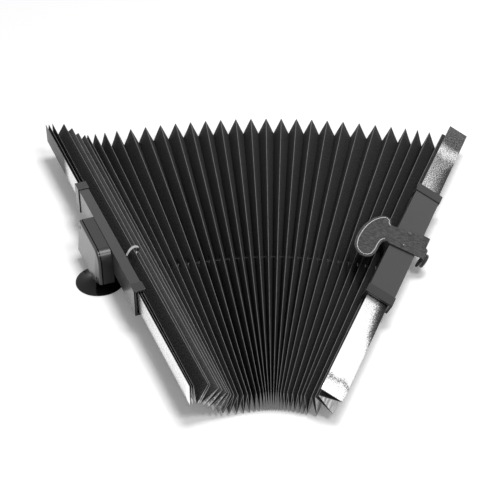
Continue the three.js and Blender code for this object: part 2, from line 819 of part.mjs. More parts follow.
function tailBend() {
  const middle = (strapBack + strapFront) / 2;
  const points = [new THREE.Vector2(middle, strapEnd + 1)];
  for (let i = 0; i <= 6; i += 1) {
    const angle = (i / 6) * tailBendAngle;
    const across = middle - tailBendRadius * (1 - Math.cos(angle));
    points.push(new THREE.Vector2(across, strapEnd - tailBendRadius * Math.sin(angle)));
  }
  const last = points[points.length - 1];
  const down = new THREE.Vector2(-1, 0.12).normalize();
  points.push(last.clone().addScaledVector(down, tailLength / 2));
  points.push(last.clone().addScaledVector(down, tailLength));
  return stripOutline(points, leatherThickness);
}

const tailBack = strapEnd - tailBendRadius;
const snapY = strapBack - snapFromStrap;

function rivetPlaces() {
  return [rivetShift - rivetSpacing / 2, rivetShift + rivetSpacing / 2].map((x) => [x, 1]);
}

function rivetHoles(from, to) {
  return rivetPlaces().map(([x, z]) => roundOut(rivetRadius + fit, x, z, from, to));
}

function pullStrap() {
  const flat = outFromBar(strapShape(), strapBack, strapFront);
  const tail = alongBar(tailBend(), snapX - tailWidth / 2, snapX + tailWidth / 2);
  const holes = rivetHoles(strapBack - 1, strapFront + 1);
  return part('pull_strap', cut(join(flat, tail), ...holes), leatherFinish());
}

function gripStitching() {
  const line = gripLine().getPoints(64).slice(2, -2);
  const inset = (distance) => line.map((point, i) => {
    const before = line[Math.max(i - 1, 0)];
    const after = line[Math.min(i + 1, line.length - 1)];
    const side = new THREE.Vector2(before.y - after.y, after.x - before.x).normalize();
    return point.clone().addScaledVector(side, distance);
  });
  const outline = [...inset(stitchInset), ...inset(stitchInset + stitchWidth).reverse()];
  const low = strapFront + fit;
  const seam = outFromBar(new THREE.Shape(outline), low, low + stitchHeight);
  return part('grip_stitching', seam, threadFinish());
}

function strapRivet(name, [x, z]) {
  const head = strapFront + fit;
  const profile = [
    [0, -rivetHeadHeight], [rivetHeadRadius, -rivetHeadHeight], [rivetHeadRadius, -0.3], [rivetRadius, 0],
    [rivetRadius, head - webInner + 0.6], [rivetHeadRadius, head - webInner + 0.6],
    [rivetHeadRadius * 0.7, head - webInner + 0.6 + rivetHeadHeight * 0.8],
    [0, head - webInner + 0.6 + rivetHeadHeight],
  ];
  return part(name, turnedOut(profile, x, z, webInner - fit, 24), steelFinish());
}

function snapButton() {
  const face = tailBack - leatherThickness / 2 - fit;
  const profile = [
    [0, 0], [snapRadius, 0], [snapRadius, snapHeight * 0.6], [snapRadius * 0.88, snapHeight * 0.92],
    [snapRadius * 0.6, snapHeight], [0, snapHeight],
  ];
  const geometry = new THREE.LatheGeometry(profile.map(([r, h]) => new THREE.Vector2(r, h)), 32);
  geometry.rotateX(-Math.PI / 2).translate(snapX, snapY, face);
  return part('snap_button', geometry, darkPlasticFinish());
}

function fixedBar() {
  const screwHole = ([x, z]) => roundOut(screwRadius + fit, x, z, webInner - 1, webOuter + 1);
  const hookHole = hookPinHole(barHalf);
  return barGroup(fixedFrame, [
    channel(
      'fixed_channel', ...barScrews.map(screwHole), hookHole, eyeletHole(webInner - 1, webOuter + 1)),
    clip('fixed_clip_narrow', -1),
    clip('fixed_clip_wide', 1),
    tape('fixed_tape', cordStation + 8, -9),
    retractorHousing(),
    housingCover(),
    ...coverPosts.map((place, i) => coverScrew(`cover_screw_${i + 1}`, place)),
    ...barScrews.map((place, i) => barScrew(`bar_screw_${i + 1}`, place)),
    reel(),
    woundCord(),
    reelAxle(),
    mainspring(),
    cordEyelet(),
    suctionCup(),
    cupStud(),
    cupNut(),
    strapHook(),
    hookRivet(),
  ]);
}

function movingBar() {
  return barGroup(movingFrame, [
    channel('moving_channel', ...rivetHoles(webInner - 1, webOuter + 1)),
    clip('moving_clip_narrow', 1),
    clip('moving_clip_wide', -1),
    tape('moving_tape', -barLength / 2 + clipLength + 4, -tapeHeight / 2),
    cordStop(),
    pullStrap(),
    gripStitching(),
    ...rivetPlaces().map((place, i) => strapRivet(`strap_rivet_${i + 1}`, place)),
    snapButton(),
  ]);
}

const sunshade = new THREE.Group();
sunshade.add(
  pleatedShade(),
  part('pull_cord', cordTube(route, cordRadius), cordFinish()),
  fixedBar(),
  movingBar(),
);

// The origin is on the ground under the middle of the whole shade
sunshade.updateMatrixWorld(true);
const extent = new THREE.Box3().setFromObject(sunshade, true);
const centre = extent.getCenter(new THREE.Vector3());
sunshade.position.set(-centre.x, -centre.y, -extent.min.z);
sunshade.updateMatrixWorld(true);

export default sunshade;
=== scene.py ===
import math

import bmesh
import bpy
from mathutils import Matrix, Vector, kdtree, noise


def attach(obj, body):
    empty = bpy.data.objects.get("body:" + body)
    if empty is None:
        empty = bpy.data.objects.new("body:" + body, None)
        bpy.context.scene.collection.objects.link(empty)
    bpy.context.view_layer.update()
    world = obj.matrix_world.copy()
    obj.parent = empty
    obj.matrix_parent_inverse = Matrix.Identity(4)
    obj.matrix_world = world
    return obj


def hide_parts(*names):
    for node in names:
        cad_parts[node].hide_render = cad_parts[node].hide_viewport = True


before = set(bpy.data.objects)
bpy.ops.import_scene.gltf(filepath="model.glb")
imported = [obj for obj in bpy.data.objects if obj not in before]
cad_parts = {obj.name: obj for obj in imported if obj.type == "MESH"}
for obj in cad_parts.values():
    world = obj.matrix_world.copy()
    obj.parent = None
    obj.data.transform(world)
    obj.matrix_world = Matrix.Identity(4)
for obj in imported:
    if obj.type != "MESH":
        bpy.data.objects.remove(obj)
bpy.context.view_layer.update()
print("frame loaded")

# Sizes are in millimetres, and Blender's own unit is the metre
mm = 0.001
clearance = 0.3  # between pieces that don't touch
slack = 0.02  # when two places are compared


# Camera, as the photograph was taken: from the narrow end, looking down

viewpoint = {
    "place": (-12.2, -1484.4, 1112.2),
    "down": 36.48,
    "lens": 93.6,
    "sensor": 36,
    "reach": 20,
}


def setCamera():
    camera = bpy.data.cameras.new("camera")
    camera.lens = viewpoint["lens"]
    camera.sensor_width = viewpoint["sensor"]
    camera.clip_end = viewpoint["reach"]
    holder = bpy.data.objects.new("camera", camera)
    bpy.context.collection.objects.link(holder)
    holder.location = Vector(viewpoint["place"]) * mm
    holder.rotation_euler = (math.radians(90 - viewpoint["down"]), 0, 0)
    bpy.context.scene.camera = holder


setCamera()
print("camera set")


# The pleated film

shade = {
    "height": 650,
    "pleatDepth": 31,
    "pleatCount": 34,
    "thickness": 0.6,
    "heading": -22.3,
    "start": (-83.9595, -339.5505),
    "barHeight": 48.5,
    "settledPleat": 14,
    "barFromNarrowEnd": 329,
    "cordFromNarrowEnd": 294,
    "holeRadius": 2.2,
    "foldRound": 0.9,
    "foldTuck": 0.35,
    "ripple": 0.7,
    "rippleRoom": 12,  # closer folds than this have less of it
    "slowWave": 0.8,
    "quickWave": 0.35,
    "stations": 44,
    "valleyWear": 0.35,
    # The tightly stacked folds are painted paler for some way down from the ridge: partly rubbed wear,
    # partly a painted highlight on their rounding
    "rubbedAndLitFolds": (6, 16),
    "rubbedAndLitShare": 0.35,
    "rubbedAndLitWear": 0.28,
    # Pleat: its lean and half its opening in degrees at the narrow end, then at the wide end
    "stages": {
        0: (0, 3.8, 0, 9),
        1: (0.8, 3.8, 0, 9),
        2: (-2, 3.7, -1, 2.5),
        3: (26.5, 2.3, 30.5, 3.1),
        4: (27, 2.3, 48.5, 10.3),
        5: (44.5, 5.8, 42.5, 22.8),
        7: (41.5, 8.3, 3, 10.5),
        9: (25.8, 6.2, 0, 16.8),
        11: (12.5, 9.2, 0, 23),
        14: (-2.7, 6.3, 0, 23.3),
        18: (-4, 2.3, 0, 23.4),
        22: (0.7, 2.3, 0, 23.4),
        26: (-2.2, 4.8, 0, 25.2),
        28: (1.1, 5.4, 0, 24.1),
        30: (-3.3, 4.7, 0, 16.4),
        31: (-3.4, 11.2, -1, 20.8),
        32: (-27.3, 21.3, -26.5, 43.8),
        33: (-62.7, 24.6, -53.8, 16.3),
        34: (-93.6, 28.6, -87.2, 22.2),
    },
}


# Shader maths: an expression on sockets adds its nodes

def rgba(tone):
    # A grey is given as one number, a colour as three
    if isinstance(tone, Signal):
        return tone
    return (*tone, 1) if isinstance(tone, tuple) else (tone, tone, tone, 1)


class Signal:
    def __init__(self, tree, socket=None):
        self.tree = tree
        self.socket = socket

    def add(self, kind, settings=None, inputs=None, out=0):
        node = self.tree.nodes.new(kind)
        for name, value in (settings or {}).items():
            if name == "stops":
                while len(node.color_ramp.elements) < len(value):
                    node.color_ramp.elements.new(0.5)
                for stop, (place, tone) in zip(node.color_ramp.elements, value):
                    stop.position = place
                    stop.color = rgba(tone)
            else:
                setattr(node, name, value)
        for name, value in (inputs or {}).items():
            if isinstance(value, Signal):
                self.tree.links.new(value.socket, node.inputs[name])
            else:
                node.inputs[name].default_value = value
        return Signal(self.tree, node.outputs[out])

    def beside(self, output):
        # Another output of the same node
        return Signal(self.tree, self.socket.node.outputs[output])

    def maths(self, operation, other):
        return self.add("ShaderNodeMath", {"operation": operation}, {0: self, 1: other})

    def __add__(self, other):
        return self.maths("ADD", other)

    def __sub__(self, other):
        return self.maths("SUBTRACT", other)

    def __rsub__(self, other):
        return self.add("ShaderNodeMath", {"operation": "SUBTRACT"}, {0: other, 1: self})

    def __mul__(self, other):
        return self.maths("MULTIPLY", other)

    def __pow__(self, other):
        return self.maths("POWER", other)

    __radd__ = __add__
    __rmul__ = __mul__

    def ramp(self, *stops):
        return self.add("ShaderNodeValToRGB", {"stops": stops}, {0: self})

    def tint(self, dark, light):
        mixed = {"Factor": self, 6: rgba(dark), 7: rgba(light)}
        return self.add("ShaderNodeMix", {"data_type": "RGBA"}, mixed, 2)

    def speckle(self, scale, detail=2.0, rough=0.5):
        sizes = {"Vector": self, "Scale": scale, "Detail": detail, "Roughness": rough}
        return self.add("ShaderNodeTexNoise", {}, sizes)

    def cells(self, scale):
        sizes = {"Vector": self, "Scale": scale}
        return self.add("ShaderNodeTexVoronoi", {"feature": "F1"}, sizes, "Distance")

    def stretched(self, *scale):
        return self.add("ShaderNodeMapping", {}, {"Vector": self, "Scale": scale})

    def bump(self, distance, strength):
        sizes = {"Height": self, "Distance": distance, "Strength": strength}
        return self.add("ShaderNodeBump", {}, sizes)


def newMaterial(name, **plain):
    material = bpy.data.materials.new(name)
    material.use_nodes = True
    shader = material.node_tree.nodes["Principled BSDF"]
    for socket, value in plain.items():
        shader.inputs[socket.replace("_", " ")].default_value = value
    return material, shader


def coordinates(material, kind="Object"):
    return Signal(material.node_tree).add("ShaderNodeTexCoord", out=kind)


def plug(material, shader, **links):
    for socket, signal in links.items():
        material.node_tree.links.new(signal.socket, shader.inputs[socket.replace("_", " ")])


# Finishes

# The film's black face has speckled fibres, and is painted grey along the ridges: partly crease wear,
# partly a painted highlight where the rounded folds catch the light
cloth = {
    "dark": 0.009,
    "light": 0.07,
    "wornAndLit": (0.29, 0.29, 0.3),
    "fibreScale": 1100,
    "clumpScale": 480,
    "mottleScale": 50,
    "relief": 0.0005,
}


def filmCloth():
    material, shader = newMaterial("black_nonwoven", Specular_IOR_Level=0.12)
    flat = coordinates(material, "UV")
    fibres = flat.stretched(1, 0.3, 1).speckle(cloth["fibreScale"], 3, 0.65)
    clumps = flat.speckle(cloth["clumpScale"], 2, 0.6)
    mottle = flat.speckle(cloth["mottleScale"], 3, 0.6)
    crease = Signal(material.node_tree).add("ShaderNodeAttribute", {"attribute_name": "crease"}, out="Fac")
    # Painted ridge tone: partly crease wear, partly a painted highlight
    wearAndHighlight = (crease ** 1.5) * (mottle * 0.9 + 0.55)
    weave = (clumps * 0.8 + fibres * 0.2).ramp((0.36, 0.0), (0.64, 1.0))
    tone = wearAndHighlight.tint((weave * 0.85 + mottle * 0.15).tint(cloth["dark"], cloth["light"]), cloth["wornAndLit"])
    relief = clumps.bump(cloth["relief"], 0.8)
    plug(material, shader, Base_Color=tone, Roughness=0.95 - fibres * 0.2, Normal=relief)
    return material


# The film's silver face; its tones are painted reflection and painted shade. Each ramp is a row of places
# from 0 to 1, each with its tone
foil = {
    "grainScale": 520,
    "wrinkleScale": 55,
    "streakScale": 260,
    # Painted reflection on the last panel, light and dark patches, from the narrow end to the wide one
    "paintedLightAlongLast": (
        (0.0, 0.8), (0.03, 0.85), (0.042, 0.3), (0.056, 1.0), (0.2, 1.0), (0.29, 0.8), (0.7, 0.5),
        (0.78, 0.32), (0.86, 0.2), (0.874, 0.48), (0.892, 0.6), (0.908, 0.42), (0.926, 0.07), (1.0, 0.06)),
    # How far the painted shade along the outer margin of the last panel draws back, in the narrow half and
    # in the wide half
    "narrowShadeMargin": ((0.14, 0.5), (0.2, 0.14), (0.29, 0.0), (0.4, 0.0), (0.41, 1.0)),
    "wideShadeMargin": ((0.4, 1.0), (0.41, 0.0), (0.82, 0.0), (0.88, 0.7)),
    # The painted shade's own tones, across the panel
    "narrowShadeEdge": ((0.16, 0.01), (0.3, 0.12), (0.48, 0.8), (0.62, 1.0)),
    "wideShadeEdge": ((0.1, 0.08), (0.25, 0.3), (0.7, 1.0)),
    # The first panel is painted bright, as a reflection, up to near its wide end, and painted dark beyond
    "paintedLightAlongFirst": ((0.8, 1.0), (0.84, 0.0)),
    # The folded panels, from the first to the last: painted reflection towards both ends, painted shade
    # between
    "folded": ((0.015, 1.0), (0.11, 0.9), (0.2, 0.6), (0.3, 0.14), (0.85, 0.14), (0.97, 0.9)),
    "level": ((0.0, 0.01), (1.0, 0.97)),
    "metallic": ((0.0, 0.0), (0.25, 0.85)),
}


def filmFoil():
    material, shader = newMaterial("silver_foil", Specular_IOR_Level=0.1)
    flat = coordinates(material, "UV")
    across = flat.add("ShaderNodeSeparateXYZ", {}, {0: flat}, "X")
    station = across.beside("Y")
    panel = shade["pleatDepth"] * mm
    width = 2 * shade["pleatCount"] * panel
    firstPanel = across.maths("LESS_THAN", panel)
    lastPanel = across.maths("GREATER_THAN", width - panel)
    grain = flat.speckle(foil["grainScale"], 2, 0.6)
    wrinkle = flat.stretched(1, 0.35, 1).speckle(foil["wrinkleScale"], 4, 0.55)
    # Place along the film from the narrow end, a little uneven
    wave = (station + wrinkle * 0.03 - 0.015) * (1 / (shade["height"] * mm))
    # Painted reflection along the last panel, mottled by the grain
    along = wave.ramp(*foil["paintedLightAlongLast"])
    paintedReflection = along * 1.25 + (grain - 0.5) * along * (1.0 - along) * 15
    # Place across the last panel, made grainy
    side = (across - (width - panel)) * (1 / panel) + (grain - 0.5) * 0.6 + wrinkle * 0.3 - 0.15
    narrowSide = side + wave.ramp(*foil["narrowShadeMargin"])
    wideSide = side + wave.ramp(*foil["wideShadeMargin"])
    # Painted shade along the last panel's outer margin
    paintedShadeMargin = narrowSide.ramp(*foil["narrowShadeEdge"])
    paintedShadeMargin = paintedShadeMargin * wideSide.ramp(*foil["wideShadeEdge"])
    # Painted reflection on the first panel, dark near its wide end
    outer = firstPanel * wave.ramp(*foil["paintedLightAlongFirst"])
    # Painted shade inside the folds, with paler streaks of painted reflection
    streak = flat.stretched(1, 0.1, 1).speckle(foil["streakScale"], 3, 0.6).ramp((0.45, 0.0), (0.65, 1.0))
    folded = (across * (1 / width)).ramp(*foil["folded"])
    inner = folded * (streak * 0.6 + 0.4) * (1 - lastPanel) * (1 - firstPanel)
    level = (paintedReflection * paintedShadeMargin * lastPanel + outer + inner).ramp(*foil["level"])
    plug(
        material, shader, Base_Color=level, Metallic=level.ramp(*foil["metallic"]),
        Roughness=grain * 0.2 + 0.2, Normal=(grain * 0.2 + wrinkle).bump(0.0012, 0.6))
    return material


def filmEdge():
    material, shader = newMaterial("film_edge", Roughness=0.6)
    plug(material, shader, Base_Color=coordinates(material).speckle(700).tint(0.1, 0.26))
    return material


def satinPlastic(name, dark, light, roughness, specular=0.22, coat=1.3, haze=0.2):
    material, shader = newMaterial(
        name, Specular_IOR_Level=specular, Coat_Weight=0.9, Coat_Roughness=haze, Coat_IOR=coat)
    spot = coordinates(material)
    grain = spot.speckle(2600, 2, 0.5)
    cloud = spot.speckle(28, 3, 0.5)
    plug(
        material, shader, Base_Color=(cloud * 0.6 + grain * 0.4).tint(dark, light),
        Roughness=cloud * 0.1 + roughness, Normal=grain.bump(0.00012, 0.5))
    return material


def glossRubber():
    material, shader = newMaterial(
        "black_rubber", Specular_IOR_Level=0.12, Coat_Weight=0.1, Coat_Roughness=0.05)
    haze = coordinates(material).speckle(90, 4, 0.6)
    plug(material, shader, Base_Color=haze.tint(0.003, 0.007), Roughness=haze * 0.12 + 0.08)
    return material


def greyLeather():
    material, shader = newMaterial("grey_leather", Specular_IOR_Level=0.22)
    spot = coordinates(material)
    pebble = spot.cells(1100.0)
    creased = spot.stretched(0.4, 1, 1).speckle(330, 4, 0.65)
    tone = (creased * 0.85 + pebble * 0.25).ramp((0.4, 0.0), (0.68, 1.0)).tint(0.012, 0.085)
    relief = (pebble * 0.5 + creased).bump(0.0006, 0.9)
    plug(material, shader, Base_Color=tone, Roughness=creased * 0.3 + 0.4, Normal=relief)
    return material


def plainThread(name, dark, light, scale):
    material, shader = newMaterial(name, Roughness=0.8)
    strands = coordinates(material).speckle(scale, 2, 0.5)
    plug(material, shader, Base_Color=strands.tint(dark, light), Normal=strands.bump(0.0002, 0.8))
    return material


def polishedMetal(name, tone, roughness):
    material, shader = newMaterial(name, Metallic=1.0)
    smear = coordinates(material).speckle(240, 4, 0.6)
    plug(
        material, shader, Base_Color=smear.tint(tone * 0.86, tone),
        Roughness=smear * 0.1 + roughness, Normal=smear.bump(0.00005, 0.3))
    return material


# The numbers of a finish are its dark tone, its light tone and its roughness, or a thread's scale
finishes = {
    "cloth": filmCloth(),
    "foil": filmFoil(),
    "edge": filmEdge(),
    "bar": satinPlastic("grey_plastic", 0.024, 0.036, 0.32),
    # The same plastic as the fixed bar, painted lighter as painted light on the moving bar
    "pullBarPaintedLighter": satinPlastic("pull_bar_plastic_painted_lighter", 0.029, 0.043, 0.32),
    "shell": satinPlastic("shell_plastic", 0.006, 0.011, 0.4, specular=0.1, coat=1.42, haze=0.3),
    "cover": satinPlastic("cover_plastic", 0.008, 0.014, 0.25, specular=0.15, coat=1.48),
    # A near-black finish with no gloss: the painted shadow in the housing's seam
    "seam": satinPlastic("seam_shadow", 0.001, 0.002, 0.9, specular=0.0, coat=1.0),
    "collar": satinPlastic("dark_plastic", 0.008, 0.015, 0.34),
    "button": satinPlastic("button_plastic", 0.006, 0.01, 0.3),
    "rubber": glossRubber(),
    "leather": greyLeather(),
    "thread": plainThread("light_thread", 0.6, 0.88, 2200),
    "cord": plainThread("thin_cord", 0.02, 0.05, 2600),
    "foam": plainThread("foam_tape", 0.55, 0.7, 900),
    "chrome": polishedMetal("plated_steel", 0.5, 0.08),
    "screw": polishedMetal("screw_steel", 0.12, 0.35),
    "darkMetal": polishedMetal("dark_metal", 0.2, 0.2),
}
print("finishes made")


# Each fold is worked out from the lean and the opening of the pleats before it

def stageAt(pleat, wide):
    knots = sorted(shade["stages"])
    before = max([k for k in knots[:-1] if k <= pleat])
    after = min([k for k in knots if k > before])
    share = (pleat - before) / (after - before)
    first = shade["stages"][before][2 * wide:2 * wide + 2]
    last = shade["stages"][after][2 * wide:2 * wide + 2]
    return [math.radians(a + (b - a) * share) for a, b in zip(first, last)]


def slumpOf(wide):
    wanted = shade["barHeight"] - shade["pleatDepth"] / 2 - shade["thickness"] / 2

    def drop(slump):
        total = 0
        for pleat in range(1, shade["settledPleat"]):
            lean, half = stageAt(pleat, wide)
            total += 2 * shade["pleatDepth"] * math.sin(half) * math.sin(lean * slump)
        return total

    # The share of each lean that brings the settled pleats down to the floor is found by halving
    low, high = 0, 1.6
    for _ in range(40):
        middle = (low + high) / 2
        if drop(middle) < wanted:
            low = middle
        else:
            high = middle
    return (low + high) / 2


def foldLines():
    depth = shade["pleatDepth"]
    heading = math.radians(shade["heading"])
    narrow = Vector((*shade["start"], shade["barHeight"] + depth / 2))
    wide = narrow + Vector((math.sin(heading), math.cos(heading), 0)) * shade["height"]
    slumps = [slumpOf(0), slumpOf(1)]
    lines = [(narrow.copy(), wide.copy())]
    for pleat in range(shade["pleatCount"] + 1):
        for rise in (1, -1):
            if (pleat == 0 and rise == 1) or (pleat == shade["pleatCount"] and rise == -1):
                continue
            across = Vector((wide.y - narrow.y, narrow.x - wide.x, 0)).normalized()
            for end, point in enumerate((narrow, wide)):
                lean, half = stageAt(pleat, end)
                slump = slumps[end] if pleat < shade["settledPleat"] else 1
                tilt = lean * slump + rise * half if pleat else 0
                point += across * rise * depth * math.sin(tilt)
                point.z += rise * depth * math.cos(tilt)
            lines.append((narrow.copy(), wide.copy()))
    return lines


folds = foldLines()


def alongFold(fold, station):
    narrow, wide = fold
    return narrow.lerp(wide, station / shade["height"])


def barPlace(edge, foot, backwards):
    def middle(station):
        return (alongFold(edge, station) + alongFold(foot, station)) / 2

    along = (middle(shade["height"]) - middle(0)).normalized()
    up = alongFold(edge, shade["barFromNarrowEnd"]) - alongFold(foot, shade["barFromNarrowEnd"])
    up = (up - along * up.dot(along)).normalized()
    if backwards:
        along = -along
    place = Matrix((along, up.cross(along), up)).transposed().to_4x4()
    place.translation = middle(shade["barFromNarrowEnd"]) * mm
    return place


fixedPlace = barPlace(folds[0], folds[1], False)
movingPlace = barPlace(folds[-1], folds[-2], True)


def filmStations():
    step = shade["height"] / shade["stations"]
    hole = shade["cordFromNarrowEnd"]
    radius = shade["holeRadius"]
    plain = [i * step for i in range(shade["stations"] + 1)]
    plain = [s for s in plain if abs(s - hole) > 2 * radius]
    return sorted(plain + [hole - radius, hole + radius])


def panelShares():
    # Where a panel gets its points, between one fold and the next, with the cord's hole in the middle
    depth = shade["pleatDepth"]
    shares = [shade["foldRound"] / depth, 0.22, 0.5 - shade["holeRadius"] / depth]
    return shares + [1 - s for s in reversed(shares)]


def rippleAt(station, i):
    slow = noise.noise(Vector((station * 0.006, i * 3.7, 0.5))) * shade["slowWave"]
    quick = noise.noise(Vector((station * 0.02, i * 3.7 + 9, 2.5))) * shade["quickWave"]
    return shade["ripple"] * (slow + quick)


def filmSection(station):
    # The film's middle line across all the pleats, each point with its normal, its painted ridge tone and
    # distance along it
    depth = shade["pleatDepth"]
    points = [alongFold(fold, station) for fold in folds]
    normals = []
    for i in range(len(points) - 1):
        normals.append((points[i + 1] - points[i]).cross(folds[i][1] - folds[i][0]).normalized())
    firstRubbedAndLit, lastRubbedAndLit = shade["rubbedAndLitFolds"]
    row = []
    for i, point in enumerate(points):
        before = normals[max(i - 1, 0)]
        after = normals[min(i, len(normals) - 1)]
        middle = (before + after).normalized()
        isEnd = i in (0, len(points) - 1)
        isRidge = i % 2 == 0
        spread = max(middle.dot(before), 0.2)
        tuck = shade["foldTuck"] * shade["foldRound"] * math.sqrt(max(0, 1 - spread ** 2))
        # Ridges get the full painted ridge tone, crease wear and painted highlight; valleys get less
        if isEnd:
            row.append((point, middle, 0, i * depth))
        elif isRidge:
            row.append((point - middle * tuck, middle, 1, i * depth))
        else:
            row.append((point + middle * tuck, middle, shade["valleyWear"], i * depth))
        if i == len(points) - 1:
            break
        gap = (points[min(i + 2, len(points) - 1)] - points[i]).length
        room = min(1, gap / shade["rippleRoom"])
        for share in panelShares():
            bow = math.sin(math.pi * share)
            place = point.lerp(points[i + 1], share) + normals[i] * rippleAt(station, i) * bow * room
            away = share if isRidge else 1 - share
            # The tightly stacked folds are painted paler near the ridge: rubbed wear and painted highlight
            rubbedAndLit = 0
            if firstRubbedAndLit <= i <= lastRubbedAndLit:
                rubbedAndLit = max(0, 1 - away / shade["rubbedAndLitShare"]) * shade["rubbedAndLitWear"]
            row.append((place, normals[i], rubbedAndLit, (i + share) * depth))
    return row


def makeFilm():
    stations = filmStations()
    half = shade["thickness"] / 2
    rows = [filmSection(station) for station in stations]
    count = len(rows[0])
    last = len(stations) - 1
    holeRow = stations.index(shade["cordFromNarrowEnd"] - shade["holeRadius"])
    perPanel = len(panelShares()) + 1
    blackFace, silverFace, cutEdge = range(3)
    mesh = bmesh.new()
    flat = mesh.loops.layers.uv.new("flat")
    crease = mesh.verts.layers.float.new("crease")
    layers = []
    for side in (1, -1):
        layer = []
        for row in rows:
            line = []
            for place, normal, wearAndHighlight, _ in row:
                vert = mesh.verts.new((place + normal * half * side) * mm)
                # The painted ridge tone goes on the black face only
                vert[crease] = wearAndHighlight if side == 1 else 0
                line.append(vert)
            layer.append(line)
        layers.append(layer)
    black, silver = layers

    def addFace(corners, look, smooth=True):
        face = mesh.faces.new(corners)
        face.material_index = look
        face.smooth = smooth
        return face

    def setFlat(face, places):
        for loop, (a, s) in zip(face.loops, places):
            loop[flat].uv = (rows[0][a][3] * mm, stations[s] * mm)

    for s in range(last):
        for a in range(count - 1):
            places = [(a, s), (a + 1, s), (a + 1, s + 1), (a, s + 1)]
            upper = [black[q][p] for p, q in places]
            lower = [silver[q][p] for p, q in places]
            if s == holeRow and a % perPanel == perPanel // 2:
                for i in range(4):
                    j = (i + 1) % 4
                    wall = addFace([upper[i], upper[j], lower[j], lower[i]], cutEdge)
                    setFlat(wall, [places[i], places[j], places[j], places[i]])
                continue
            setFlat(addFace(upper[::-1], blackFace), places[::-1])
            setFlat(addFace(lower, silverFace), places)
    for a in range(count - 1):
        b = a + 1
        addFace([black[0][a], black[0][b], silver[0][b], silver[0][a]], cutEdge, smooth=False)
        addFace([black[last][b], black[last][a], silver[last][a], silver[last][b]], cutEdge, smooth=False)
    for a in (0, count - 1):
        for s in range(last):
            corners = [black[s][a], black[s + 1][a], silver[s + 1][a], silver[s][a]]
            addFace(corners if a else corners[::-1], cutEdge, smooth=False)
    bmesh.ops.recalc_face_normals(mesh, faces=mesh.faces)
    data = bpy.data.meshes.new("pleated_film")
    mesh.to_mesh(data)
    mesh.free()
    film = bpy.data.objects.new("pleated_film", data)
    bpy.context.collection.objects.link(film)
    for look in ("cloth", "foil", "edge"):
        data.materials.append(finishes[look])
    return film


film = makeFilm()
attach(film, "shade")
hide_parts("pleated_shade")
print("film folded:", len(film.data.polygons), "faces")


# Modelling helpers. Pieces are made in their bar's own frame: X along it, Y out of the shade,
# Z up the panel, and then settled on that bar

def freshStart():
    if bpy.context.mode != "OBJECT":
        bpy.ops.object.mode_set(mode="OBJECT")
    bpy.ops.object.select_all(action="DESELECT")


def named(name):
    piece = bpy.context.active_object
    piece.name = name
    piece.data.name = name
    return piece


def only(piece):
    freshStart()
    piece.select_set(True)
    bpy.context.view_layer.objects.active = piece


def edit(piece):
    only(piece)
    bpy.ops.object.mode_set(mode="EDIT")


def pick(piece, kind, test):
    bpy.ops.mesh.select_mode(type=kind)
    bpy.ops.mesh.select_all(action="DESELECT")
    mesh = bmesh.from_edit_mesh(piece.data)
    groups = {"VERT": mesh.verts, "EDGE": mesh.edges, "FACE": mesh.faces}
    for item in groups[kind]:
        if test(item):
            item.select_set(True)
    bmesh.update_edit_mesh(piece.data)


def centreOf(item):
    return sum((v.co for v in item.verts), Vector()) / len(item.verts)


def near(a, b):
    return abs(a - b) < slack * mm


def modify(piece, kind, **settings):
    only(piece)
    modifier = piece.modifiers.new(kind.lower(), kind)
    for name, value in settings.items():
        setattr(modifier, name, value)
    bpy.ops.object.modifier_apply(modifier=modifier.name)


def bevelEdges(piece, width, segments=3, angle=30):
    modify(
        piece, "BEVEL", width=width * mm, segments=segments, limit_method="ANGLE",
        angle_limit=math.radians(angle), harden_normals=False,
    )


def settle(piece, matrix):
    only(piece)
    bpy.ops.object.transform_apply(location=True, rotation=True, scale=True)
    piece.data.transform(matrix)


def dress(piece, matrix, look, slotName, *nodes, crisp=False):
    settle(piece, matrix)
    edit(piece)
    bpy.ops.mesh.select_all(action="SELECT")
    bpy.ops.mesh.normals_make_consistent(inside=False)
    only(piece)
    bpy.ops.object.shade_smooth_by_angle(angle=math.radians(35))
    if crisp:
        modify(piece, "WEIGHTED_NORMAL", keep_sharp=True, weight=80)
    piece.data.materials.clear()
    piece.data.materials.append(finishes[look])
    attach(piece, "shade")
    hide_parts(*nodes)


def drill(piece, radius, at, axis, depth):
    turn = {"Y": (math.pi / 2, 0, 0), "Z": (0, 0, 0)}[axis]
    freshStart()
    bpy.ops.mesh.primitive_cylinder_add(
        vertices=32, radius=radius * mm, depth=depth * mm, location=Vector(at) * mm, rotation=turn)
    cutter = bpy.context.active_object
    modify(piece, "BOOLEAN", object=cutter, operation="DIFFERENCE", solver="EXACT")
    bpy.data.objects.remove(cutter)


def turned(name, profile, steps, centre=(0, 0, 0), axis="Y"):
    # A profile of (radius, height) drawn point by point from a single vertex, then spun about the axis
    across = Vector((1, 0, 0))
    along = {"Y": Vector((0, 1, 0)), "Z": Vector((0, 0, 1))}[axis]
    points = [(across * r + along * h) * mm + Vector(centre) * mm for r, h in profile]
    freshStart()
    bpy.ops.mesh.primitive_plane_add(size=mm, location=points[0])
    piece = named(name)
    edit(piece)
    bpy.ops.mesh.select_mode(type="VERT")
    bpy.ops.mesh.select_all(action="SELECT")
    bpy.ops.mesh.merge(type="CENTER")
    for before, after in zip(points, points[1:]):
        bpy.ops.mesh.extrude_region_move(TRANSFORM_OT_translate={"value": after - before})
    bpy.ops.mesh.select_all(action="SELECT")
    bpy.ops.mesh.spin(
        steps=steps, angle=2 * math.pi, center=Vector(centre) * mm, axis=along, use_auto_merge=True)
    bpy.ops.mesh.select_all(action="SELECT")
    bpy.ops.mesh.remove_doubles(threshold=0.005 * mm)
    bpy.ops.mesh.normals_make_consistent(inside=False)
    only(piece)
    return piece


# Bars

